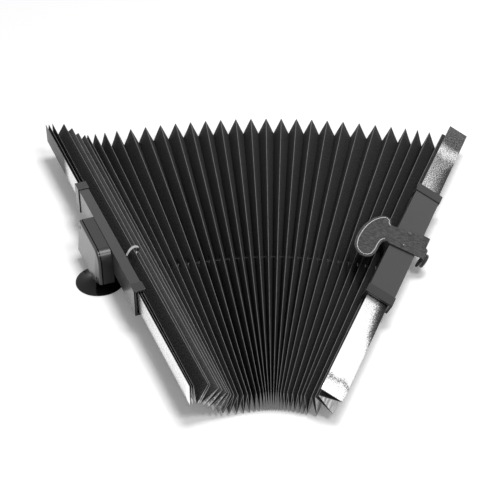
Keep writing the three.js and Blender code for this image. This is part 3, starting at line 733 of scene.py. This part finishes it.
bar = {
    "length": 274,
    "wall": 2,
    "depth": 14,
    "tape": 2.2,
    "panelPlay": 1.5,
    "edge": 0.45,
    "hookHole": 1.3,
    "eyeletHole": 2.5,
    "screwHole": 1.5,
    "screwInset": 7.2,
    "screwAboveFoot": 2.5,
}
webInner = shade["thickness"] / 2 + clearance + bar["tape"] + clearance
webOuter = webInner + bar["wall"]
flangeTip = webOuter - bar["depth"]
barHalf = shade["pleatDepth"] / 2 + bar["panelPlay"] + bar["wall"]


def bentPlate(name, start, end, webY, topZ, bends, wall):
    # A standing plate whose long edges are drawn on, bend by bend, and which then gets its thickness
    freshStart()
    middle = ((start + end) / 2 * mm, webY * mm, 0)
    bpy.ops.mesh.primitive_plane_add(size=mm, location=middle, rotation=(math.pi / 2, 0, 0))
    piece = named(name)
    piece.scale = (end - start, 2 * topZ, 1)
    bpy.ops.object.transform_apply(location=True, rotation=True, scale=True)
    edit(piece)
    for side in (1, -1):
        pick(piece, "EDGE", lambda e: near(centreOf(e).z, side * topZ * mm))
        for moveY, moveZ in bends:
            step = (0, moveY * mm, side * moveZ * mm)
            bpy.ops.mesh.extrude_region_move(TRANSFORM_OT_translate={"value": step})
    only(piece)
    modify(piece, "SOLIDIFY", thickness=wall * mm, offset=0, use_even_offset=True)
    return piece


def makeChannel(name):
    half = bar["wall"] / 2
    end = bar["length"] / 2
    webY = webOuter - half
    return bentPlate(name, -end, end, webY, barHalf - half, [(flangeTip - webY, 0)], bar["wall"])


fixedChannel = makeChannel("fixed_bar_channel")
movingChannel = makeChannel("moving_bar_channel")

collar = {
    "length": 18,
    "wall": 1,
    "edge": 0.4,
}


def makeCollar(name, side):
    half = collar["wall"] / 2
    far = side * bar["length"] / 2
    start = far - side * collar["length"]
    webY = webOuter + clearance + half
    topZ = barHalf + clearance + half
    lipY = flangeTip - clearance - half
    lipDrop = -(topZ - (barHalf - bar["wall"]))
    bends = [(lipY - webY, 0), (0, lipDrop)]
    piece = bentPlate(name, min(start, far), max(start, far), webY, topZ, bends, collar["wall"])
    bevelEdges(piece, collar["edge"])
    return piece


collars = {
    "fixed_clip_narrow": (makeCollar("fixed_collar_narrow", -1), fixedPlace),
    "fixed_clip_wide": (makeCollar("fixed_collar_wide", 1), fixedPlace),
    "moving_clip_narrow": (makeCollar("moving_collar_narrow", 1), movingPlace),
    "moving_clip_wide": (makeCollar("moving_collar_wide", -1), movingPlace),
}
for node, (piece, matrix) in collars.items():
    dress(piece, matrix, "collar", "dark_plastic", node, crisp=True)
print("collars fitted")


# Retractor housing and its cover

housing = {
    "length": 93,
    "height": 52,
    "noseFromNarrowEnd": 287,
    "belowBarTop": 1,
    "bodyWidth": 16.6,
    "wall": 1.8,
    "noseRadius": 17,
    "cornerRadius": 3,
    "cover": 3.2,
    "coverRound": 2.5,
    "flare": 5.5,
    "flareRun": 15,
    "seam": 1.1,
    "seamStep": 0.9,
    "screwHead": 2.5,
    "screwHeadDepth": 1.9,
    "screwInset": 8,
}
housingTop = barHalf - housing["belowBarTop"]
housingBottom = housingTop - housing["height"]
housingNose = housing["noseFromNarrowEnd"] - shade["barFromNarrowEnd"]
housingEnd = housingNose + housing["length"]
housingBack = webOuter + clearance
housingFace = housingBack + housing["bodyWidth"]


def flareAt(x, z):
    run = min(max((x - housingNose) / housing["flareRun"], 0), 1)
    return housing["flare"] * run * (housingTop - z) / housing["height"]


def housingBlock(name, low, high, flareFrom, outerRound=0.0, seam=0.0):
    centre = ((housingNose + housingEnd) / 2, (low + high) / 2, (housingTop + housingBottom) / 2)
    freshStart()
    bpy.ops.mesh.primitive_cube_add(
        size=mm, location=Vector(centre) * mm, scale=(housing["length"], high - low, housing["height"]))
    piece = named(name)
    bpy.ops.object.transform_apply(location=True, rotation=True, scale=True)
    edit(piece)

    def noseEdge(e):
        c = centreOf(e)
        return near(c.x, housingNose * mm) and near(c.z, housingTop * mm)

    def otherCorner(e):
        c = centreOf(e)
        atEnd = near(c.x, housingNose * mm) or near(c.x, housingEnd * mm)
        atRim = near(c.z, housingTop * mm) or near(c.z, housingBottom * mm)
        return atEnd and atRim and not noseEdge(e)

    pick(piece, "EDGE", otherCorner)
    bpy.ops.mesh.bevel(offset=housing["cornerRadius"] * mm, segments=6, affect="EDGES")
    pick(piece, "EDGE", noseEdge)
    bpy.ops.mesh.bevel(offset=housing["noseRadius"] * mm, segments=20, affect="EDGES")
    if outerRound:
        pick(piece, "EDGE", lambda e: all(near(v.co.y, high * mm) for v in e.verts))
        bpy.ops.mesh.bevel(offset=outerRound * mm, segments=5, affect="EDGES")
    if seam:
        # The open rim steps in, which leaves a shadow line beside the cover
        pick(piece, "FACE", lambda f: all(near(v.co.y, high * mm) for v in f.verts))
        bpy.ops.mesh.inset(thickness=housing["seamStep"] * mm)
        bpy.ops.mesh.extrude_region_move(TRANSFORM_OT_translate={"value": (0, seam * mm, 0)})
        bpy.ops.mesh.delete(type="FACE")
    # More rows of edges, so that the flare can bend the faces
    cuts = [((housingNose + housing["flareRun"] * share, 0, 0), (1, 0, 0)) for share in (0.34, 0.67, 1.0)]
    cuts += [((0, 0, housingBottom + housing["height"] * share), (0, 0, 1)) for share in (0.25, 0.5, 0.75)]
    for at, normal in cuts:
        bpy.ops.mesh.select_all(action="SELECT")
        bpy.ops.mesh.bisect(plane_co=Vector(at) * mm, plane_no=normal)
    mesh = bmesh.from_edit_mesh(piece.data)
    for vert in mesh.verts:
        if vert.co.y > (flareFrom - slack) * mm:
            vert.co.y += flareAt(vert.co.x / mm, vert.co.z / mm) * mm
    bmesh.update_edit_mesh(piece.data)
    return piece


seamStart = housingFace - housing["seam"]
shell = housingBlock("retractor_shell", housingBack, seamStart, seamStart, seam=housing["seam"])
modify(shell, "SOLIDIFY", thickness=housing["wall"] * mm, offset=-1, use_even_offset=True)
dress(shell, fixedPlace, "shell", "grey_plastic", "retractor_housing", crisp=True)
# The faces of the step are painted near black with no gloss, a painted shadow in the seam
shell.data.materials.append(finishes["seam"])
backToBar = fixedPlace.inverted()
for face in shell.data.polygons:
    x, y, z = (backToBar @ face.center) / mm
    if y - flareAt(x, z) > seamStart - slack:
        face.material_index = 1

coverLow = housingFace + clearance
coverHigh = coverLow + housing["cover"]
cover = housingBlock("retractor_cover", coverLow, coverHigh, coverLow, housing["coverRound"])
screwSpots = [
    (housingNose + housing["screwInset"], housingBottom + housing["screwInset"]),
    (housingEnd - housing["screwInset"], housingTop - housing["screwInset"]),
]
drillLength = 20
for x, z in screwSpots:
    seat = coverHigh + flareAt(x, z) - housing["screwHeadDepth"]
    drill(cover, housing["screwHead"] + clearance, (x, seat + drillLength / 2, z), "Y", depth=drillLength)
dress(cover, fixedPlace, "cover", "grey_plastic", "housing_cover", crisp=True)
print("housing closed")


# Suction cup

cup = {
    "radius": 34,
    "height": 14.2,
    "rim": 1.3,
    "rimSlope": 0.2,
    "lip": 3.5,
    "hollow": 3.6,
    "neck": 9,
    "neckHeight": 4.5,
    "neckFoot": 1.2,
    "bore": 2.8,
    "boreBelowCrown": 3,
    "fromHousingNose": 30,
    "fromBar": 13,
}
cupX = housingNose + cup["fromHousingNose"]
cupY = webOuter + cup["fromBar"]


def cupProfile():
    radius, neck, height, rim = cup["radius"], cup["neck"], cup["height"], cup["rim"]
    crown = height - cup["neckHeight"]
    rimTop = radius - cup["rimSlope"]
    lip = radius - cup["lip"]
    boreEnd = crown - cup["boreBelowCrown"]
    line = [(lip, 0), (radius - 0.5, 0.05), (radius, 0.45), (rimTop, rim)]
    rise = 12
    for i in range(1, rise + 1):
        share = i / rise
        r = rimTop - (rimTop - neck - cup["neckFoot"]) * share
        line.append((r, rim + (crown - rim) * (0.42 * share + 0.58 * share ** 3)))
    line += [(neck + 0.3, crown + 0.9), (neck, crown + 1.8), (neck, height - 0.5), (neck - 0.5, height)]
    line += [(cup["bore"], height), (cup["bore"], boreEnd), (0, boreEnd), (0, cup["hollow"])]
    under = 8
    for i in range(1, under + 1):
        share = i / under
        line.append((lip * share, cup["hollow"] * (1 - share ** 1.6)))
    return line


suctionCup = turned("rubber_cup", cupProfile(), 96, (cupX, cupY, -shade["barHeight"]), "Z")
dress(suctionCup, fixedPlace, "rubber", "black_rubber", "suction_cup")
print("cup made")


# Hook on the fixed bar

hook = {
    "width": 5,
    "thickness": 0.9,
    "fromNarrowEnd": 274,
    "rivet": 1,
    "rivetFromTip": 5,
    "edge": 0.22,
    "sink": 0.1,
}
hookX = hook["fromNarrowEnd"] - shade["barFromNarrowEnd"]
hookFloor = shade["pleatDepth"] / 2 + (bar["panelPlay"] + shade["thickness"] / 2) / 2 - hook["sink"]
# Y and Z from inside the bar, under its flange, then up and over the shade
hookLine = [
    (flangeTip + 8, hookFloor), (flangeTip + 4, hookFloor), (flangeTip + 0.5, hookFloor),
    (flangeTip - 2.2, hookFloor + 2), (flangeTip - 4.5, barHalf + 4), (flangeTip - 9, barHalf + 9),
    (flangeTip - 14.5, barHalf + 10.6), (flangeTip - 18.6, barHalf + 8), (flangeTip - 18, barHalf + 3.2),
    (flangeTip - 14.6, barHalf - 1.4),
]


def strip(name, line, fromX, toX):
    # One edge of a small plate is drawn along a line of points in Y and Z
    freshStart()
    start = ((fromX + toX) / 2, *line[0])
    bpy.ops.mesh.primitive_plane_add(size=mm, location=Vector(start) * mm)
    piece = named(name)
    piece.scale = (toX - fromX, 1, 1)
    bpy.ops.object.transform_apply(location=True, rotation=True, scale=True)
    edit(piece)
    pick(piece, "VERT", lambda v: v.co.y > line[0][0] * mm)
    bpy.ops.mesh.delete(type="VERT")
    pick(piece, "EDGE", lambda e: True)
    bpy.ops.transform.translate(value=(0, 0.5 * mm, 0))
    for before, after in zip(line, line[1:]):
        step = (0, (after[0] - before[0]) * mm, (after[1] - before[1]) * mm)
        bpy.ops.mesh.extrude_region_move(TRANSFORM_OT_translate={"value": step})
    only(piece)
    return piece


strapHook = strip("chrome_hook", hookLine, hookX - hook["width"] / 2, hookX + hook["width"] / 2)
modify(strapHook, "SOLIDIFY", thickness=hook["thickness"] * mm, offset=0, use_even_offset=True)
bevelEdges(strapHook, hook["edge"], segments=2, angle=60)
modify(strapHook, "SUBSURF", levels=2, render_levels=2)
rivetY = flangeTip + hook["rivetFromTip"]
drill(strapHook, hook["rivet"] + clearance, (hookX, rivetY, hookFloor), "Z", depth=6)
dress(strapHook, fixedPlace, "chrome", "plated_steel", "strap_hook")
print("hook bent")


# Leather pull strap

strap = {
    "thickness": 2,
    "overhang": 10,
    "gripBelowBarTop": 19,
    "tailLength": 22,
    "tailWidth": 24,
    "tailBend": 3.5,
    "tailTurn": 1.3,
    "tailSlope": 0.12,
    "voxel": 0.55,
    "rivet": 1.5,
    "rivetHead": 3,
    "rivetHeadHeight": 1.3,
    "rivetSpacing": 30,
    "rivetShift": -2,
    "stitchInset": 3.6,
    "stitchPitch": 2.7,
    "stitchLength": 2.35,
    "stitchRadius": 0.65,
    "stitchSlant": 0.12,
    "snapX": 4,
    "snapFromBack": 10,
    "snapRadius": 10.5,
    "snapHeight": 4.6,
    # The front sinks along the seam and at the rivets, and is padded between them
    "skin": 0.45,
    "seamDepth": 0.3,
    "seamWidth": 0.9,
    "padding": 0.15,
    "paddingRun": 8,
    "dimpleDepth": 0.35,
    "dimpleWidth": 4.5,
    "wave": 0.22,
    "crumple": 0.12,
}
strapBack = webOuter + clearance
strapFront = strapBack + strap["thickness"]
strapMiddle = (strapBack + strapFront) / 2
strapEnd = -(barHalf + strap["overhang"])
# The strap's outline in X and Z: up one side of the band, around the grip, and down the other side
bandUp = [(16, strapEnd), (26, barHalf)]
bandDown = [(-15, barHalf), (-31, strapEnd + 10), (-32, strapEnd)]
gripPoints = [
    (25, 25), (31, 29.5), (42, 31), (58, 31.5), (71, 34.5), (79.5, 43), (79, 54), (69, 62), (52, 65),
    (32, 64.5), (12, 61), (-6, 54.5), (-18.5, 46), (-22.5, 38.5), (-19, 32), (-13, 30), (-11, 26.5),
]
gripLift = barHalf - strap["gripBelowBarTop"]


def smoothLine(points, steps):
    # A smooth curve through the points
    line = []
    for i in range(len(points) - 1):
        p0 = Vector(points[max(i - 1, 0)])
        p1 = Vector(points[i])
        p2 = Vector(points[i + 1])
        p3 = Vector(points[min(i + 2, len(points) - 1)])
        for k in range(steps):
            t = k / steps
            bend = (2 * p0 - 5 * p1 + 4 * p2 - p3) * t * t
            twist = (3 * p1 - p0 - 3 * p2 + p3) * t ** 3
            line.append(0.5 * (2 * p1 + (p2 - p0) * t + bend + twist))
    line.append(Vector(points[-1]))
    return line


gripLine = smoothLine([(x, z + gripLift) for x, z in gripPoints], 6)


def makeStrap():
    outline = bandUp + [tuple(point) for point in gripLine] + bandDown
    curve = bpy.data.curves.new("leather_strap", "CURVE")
    curve.dimensions = "2D"
    curve.fill_mode = "BOTH"
    curve.extrude = strap["thickness"] / 2 * mm
    spline = curve.splines.new("POLY")
    spline.points.add(len(outline) - 1)
    for point, (x, z) in zip(spline.points, outline):
        point.co = (x * mm, z * mm, 0, 1)
    spline.use_cyclic_u = True
    piece = bpy.data.objects.new("leather_strap", curve)
    bpy.context.collection.objects.link(piece)
    piece.rotation_euler = (math.pi / 2, 0, 0)
    piece.location = (0, strapMiddle * mm, 0)
    only(piece)
    bpy.ops.object.convert(target="MESH")
    bpy.ops.object.transform_apply(location=True, rotation=True, scale=True)
    return piece


def tailLine():
    # Y and Z down from the strap's end, round the bend and back under the bar
    bend = strap["tailBend"]
    line = [(strapMiddle, strapEnd + 3), (strapMiddle, strapEnd + 1)]
    for i in range(7):
        angle = i / 6 * strap["tailTurn"]
        line.append((strapMiddle - bend * (1 - math.cos(angle)), strapEnd - bend * math.sin(angle)))
    lastY, lastZ = line[-1]
    tip = Vector((-1, strap["tailSlope"])).normalized() * strap["tailLength"]
    for share in (0.25, 0.45, 0.6, 0.72, 0.82, 0.9, 0.96, 1):
        line.append((lastY + tip.x * share, lastZ + tip.y * share))
    return line


def makeTail():
    half = strap["tailWidth"] / 2
    middle = strap["snapX"]
    piece = strip("strap_tail", tailLine(), middle - half, middle + half)
    # The tab ends in a half circle around the snap
    endY, endZ = tailLine()[-1]
    for vert in piece.data.vertices:
        left = math.hypot(vert.co.y / mm - endY, vert.co.z / mm - endZ)
        if left < half:
            reach = max(math.sqrt(half ** 2 - (half - left) ** 2), 2)
            vert.co.x = (middle + math.copysign(reach, vert.co.x / mm - middle)) * mm
    modify(piece, "SOLIDIFY", thickness=strap["thickness"] * mm, offset=0, use_even_offset=True)
    return piece


leather = makeStrap()
tail = makeTail()
only(leather)
tail.select_set(True)
bpy.ops.object.join()
modify(leather, "REMESH", mode="VOXEL", voxel_size=strap["voxel"] * mm)
modify(leather, "SMOOTH", factor=0.5, iterations=4)

# The seam keeps off both ends of the grip
stitchLine = []
for before, at, after in zip(gripLine[2:-4], gripLine[3:-3], gripLine[4:-2]):
    side = Vector((before.y - after.y, after.x - before.x)).normalized()
    stitchLine.append(at + side * strap["stitchInset"])

rivetSpots = [(side * strap["rivetSpacing"] / 2 + strap["rivetShift"], 1) for side in (-1, 1)]


def walk(line, pitch):
    # Evenly spaced places along a line, each with its direction
    found = []
    carry = 0
    for a, b in zip(line, line[1:]):
        run = (b - a).length
        while carry < run:
            found.append((a.lerp(b, carry / run), (b - a).normalized()))
            carry += pitch
        carry -= run
    return found


def shapeLeather():
    seam = walk(stitchLine, 0.5)
    groove = kdtree.KDTree(len(seam))
    for i, (at, _) in enumerate(seam):
        groove.insert((at.x, 0, at.y), i)
    groove.balance()
    gripStart = barHalf - 2
    for vert in leather.data.vertices:
        x, y, z = vert.co / mm
        if y < strapFront - strap["skin"] or z < strapEnd + 1:
            continue
        lift = 0
        if z > gripStart:
            away = groove.find((x, 0, z))[2]
            run = strap["paddingRun"]
            lift -= strap["seamDepth"] * math.exp(-(away / strap["seamWidth"]) ** 2)
            lift += strap["padding"] * min(away / run, 1) * min((z - gripStart) / run, 1)
        for rivetX, rivetZ in rivetSpots:
            away = math.hypot(x - rivetX, z - rivetZ)
            lift -= strap["dimpleDepth"] * math.exp(-(away / strap["dimpleWidth"]) ** 2)
        lift += strap["wave"] * noise.noise(Vector((x * 0.09, 3.1, z * 0.09)))
        lift += strap["crumple"] * noise.noise(Vector((x * 0.35, 8.2, z * 0.12)))
        vert.co.y += lift * mm


shapeLeather()
for x, z in rivetSpots:
    drill(leather, strap["rivet"] + clearance, (x, strapBack, z), "Y", depth=12)
dress(leather, movingPlace, "leather", "grey_leather", "pull_strap")
print("strap cut:", len(leather.data.polygons), "faces")


def makeStitches():
    # One stitch is shaped, the others are copies of it, and all are joined
    radius = strap["stitchRadius"]
    freshStart()
    bpy.ops.mesh.primitive_uv_sphere_add(segments=10, ring_count=7, radius=radius * mm)
    first = bpy.context.active_object
    first.scale = (strap["stitchLength"] / 2 / radius, 1, 1)
    bpy.ops.object.transform_apply(scale=True)
    spots = walk(stitchLine, strap["stitchPitch"])
    made = [first]
    for _ in spots[1:]:
        copy = first.copy()
        copy.data = first.data.copy()
        bpy.context.collection.objects.link(copy)
        made.append(copy)
    for stitch, (at, way) in zip(made, spots):
        stitch.location = Vector((at.x, strapFront + clearance, at.y)) * mm
        stitch.rotation_euler = (0, strap["stitchSlant"] - math.atan2(way.y, way.x), 0)
        stitch.select_set(True)
    bpy.context.view_layer.objects.active = first
    bpy.ops.object.join()
    return named("strap_stitches")


stitches = makeStitches()
dress(stitches, movingPlace, "thread", "light_thread", "grip_stitching")


def rivetProfile():
    # A flat head inside the bar, a shank, and a ringed head with a dot in the middle on the leather
    head = strapFront + clearance - webInner
    r, high, shank = strap["rivetHead"], strap["rivetHeadHeight"], strap["rivet"]
    return [
        (0, -high), (r, -high), (r, -0.3), (shank, 0), (shank, head + 0.1), (r, head + 0.1),
        (r, head + 0.5), (r * 0.92, head + 0.85), (r * 0.8, head + 0.9), (r * 0.72, head + 0.25),
        (r * 0.46, head + 0.2), (r * 0.36, head + 1.0), (r * 0.2, head + 1.25), (0, head + 1.3),
    ]


for i, (x, z) in enumerate(rivetSpots):
    rivet = turned(f"leather_rivet_{i + 1}", rivetProfile(), 32, (x, webInner - clearance, z))
    dress(rivet, movingPlace, "darkMetal", "dark_metal", f"strap_rivet_{i + 1}")


def makeSnap():
    # A round cap under the tail, with a shallow ring on its face
    r, high = strap["snapRadius"], strap["snapHeight"]
    profile = [
        (0, 0), (r - 0.4, 0), (r, 0.4), (r, high * 0.5), (r * 0.96, high * 0.75), (r * 0.88, high * 0.92),
        (r * 0.74, high), (r * 0.68, high * 0.9), (r * 0.5, high * 0.86), (0, high * 0.84),
    ]
    cap = turned("snap_cap", profile, 64)
    tailBack = strapEnd - strap["tailBend"] - strap["thickness"] / 2
    cap.rotation_euler = (-math.pi / 2, 0, 0)
    cap.location = Vector((strap["snapX"], strapBack - strap["snapFromBack"], tailBack - clearance)) * mm
    return cap


dress(makeSnap(), movingPlace, "button", "dark_plastic", "snap_button")
print("strap riveted and stitched")


# The channels get their holes last, under the hook, the eyelet, the screws and the rivets

drill(fixedChannel, bar["hookHole"], (hookX, rivetY, barHalf), "Z", depth=8)
eyeletX = shade["cordFromNarrowEnd"] - shade["barFromNarrowEnd"]
drill(fixedChannel, bar["eyeletHole"], (eyeletX, webOuter, 0), "Y", depth=8)
screwZ = bar["screwAboveFoot"] - shade["pleatDepth"] / 2
for x in (housingNose + bar["screwInset"], housingEnd - bar["screwInset"]):
    drill(fixedChannel, bar["screwHole"], (x, webOuter, screwZ), "Y", depth=8)
for x, z in rivetSpots:
    drill(movingChannel, strap["rivet"] + clearance, (x, webOuter, z), "Y", depth=8)
for channel in (fixedChannel, movingChannel):
    bevelEdges(channel, bar["edge"], angle=50)
dress(fixedChannel, fixedPlace, "bar", "grey_plastic", "fixed_channel", crisp=True)
# The moving bar gets its plastic painted lighter, as painted light
dress(movingChannel, movingPlace, "pullBarPaintedLighter", "grey_plastic", "moving_channel", crisp=True)
print("channels drilled")


# CAD pieces that keep their shape

keptLooks = {
    "pull_cord": "cord", "wound_cord": "cord", "fixed_tape": "foam", "moving_tape": "foam",
    "cover_screw_1": "screw", "cover_screw_2": "screw", "bar_screw_1": "screw", "bar_screw_2": "screw",
    "cord_reel": "button", "reel_axle": "chrome", "mainspring": "darkMetal", "cord_eyelet": "button",
    "cup_stud": "chrome", "cup_nut": "chrome", "hook_rivet": "screw", "cord_stop": "chrome",
}
for node, look in keptLooks.items():
    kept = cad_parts[node]
    kept.data.materials.clear()
    kept.data.materials.append(finishes[look])
print("kept pieces painted")


# Floor, world and lamps, in metres and watts

studio = {
    "floorSize": 6.0,
    "floorTone": 0.97,
    "floorLift": 0.14,
    "floorDrop": 0.0002,
    "worldLight": 0.27,
    "key": {"place": (0.75, 0.1, 4.5), "size": 1.4, "power": 112},
    # A small low lamp for the highlight on the nose of the housing
    "nose": {"place": (0.8, -1.2, 2.45), "size": 0.6, "power": 22},
}


def seenPlainly(tree):
    # 1 for what the camera sees by itself, in a gloss or through a clear piece
    seen = paths = Signal(tree).add("ShaderNodeLightPath", out="Is Camera Ray")
    for ray in ("Is Glossy Ray", "Is Transmission Ray"):
        seen = seen.maths("MAXIMUM", paths.beside(ray))
    return seen


def makeFloor():
    freshStart()
    bpy.ops.mesh.primitive_plane_add(size=studio["floorSize"], location=(0, 0, -studio["floorDrop"]))
    floor = named("floor")
    material, shader = newMaterial(
        "floor_white", Base_Color=rgba(studio["floorTone"]), Roughness=0.9, Specular_IOR_Level=0.0,
        Emission_Strength=1.0)
    seen = seenPlainly(material.node_tree)
    plug(material, shader, Emission_Color=seen.tint(0, studio["floorLift"]))
    floor.data.materials.append(material)


def makeWorld():
    world = bpy.data.worlds.new("studio")
    world.use_nodes = True
    bpy.context.scene.world = world
    background = world.node_tree.nodes["Background"]
    light = studio["worldLight"]
    strength = seenPlainly(world.node_tree) * (1.0 - light) + light
    world.node_tree.links.new(strength.socket, background.inputs["Strength"])
    background.inputs["Color"].default_value = rgba(1)


def makeLamp(name, facts):
    lamp = bpy.data.lights.new(name, "AREA")
    lamp.shape = "SQUARE"
    lamp.size = facts["size"]
    lamp.energy = facts["power"]
    holder = bpy.data.objects.new(name, lamp)
    bpy.context.collection.objects.link(holder)
    holder.location = facts["place"]
    holder.rotation_euler = (-Vector(facts["place"])).to_track_quat("-Z", "Y").to_euler()


makeFloor()
makeWorld()
makeLamp("key", studio["key"])
makeLamp("nose", studio["nose"])
bpy.context.scene.view_settings.view_transform = "Standard"
print("studio lit")
